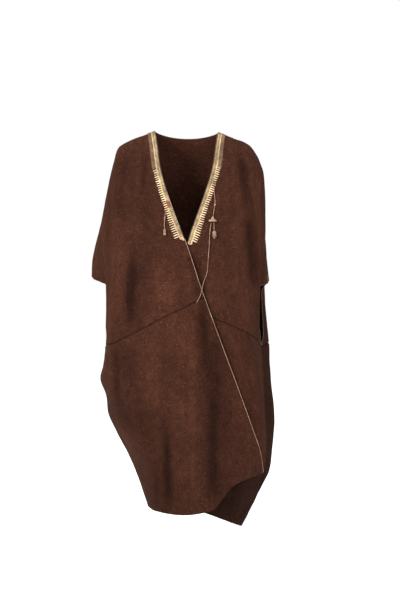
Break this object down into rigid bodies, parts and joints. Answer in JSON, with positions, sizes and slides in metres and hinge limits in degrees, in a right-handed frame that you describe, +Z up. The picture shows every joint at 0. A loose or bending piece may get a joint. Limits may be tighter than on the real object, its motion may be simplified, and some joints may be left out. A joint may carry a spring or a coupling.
{
  "type": "aba cloak",
  "caption": "Wide dark wool cloak worn wrapped across the front, open at neck, arm slits and hem, with gold braid round the V neck, corded edges and small tie cords.",
  "frame": {"origin": "between the two points where the shoulder seams meet the neck, where the wearer's shoulders hold the cloak", "axes": "+Z up, the wearer faces -Y, +X is the wearer's left"},
  "size_m": [0.6721, 0.2904, 1.4406],
  "materials": {
    "wool": "coarse dark brown wool, plain weave, slightly hairy",
    "braid": "gold thread braid, worn",
    "cord": "twisted gold-beige cord"
  },
  "bodies": {
    "root": {"front_right_upper": "wool", "front_right_lower": "wool", "front_left_upper": "wool", "front_left_lower": "wool", "back_upper": "wool", "back_lower": "wool", "neck_braid_right": "braid", "neck_braid_left": "braid", "neck_braid_back": "braid", "edge_cord_right": "cord", "slit_cord_right_front": "cord", "slit_cord_left_front": "cord", "slit_cord_right_back": "cord", "slit_cord_left_back": "cord", "tie_right": "cord", "tie_left_top": "cord", "tie_left_short": "cord", "tie_left_long": "cord", "tie_right_knot": "cord", "tie_left_bead": "cord", "tie_left_tassel": "cord"}
  },
  "joints": []
}
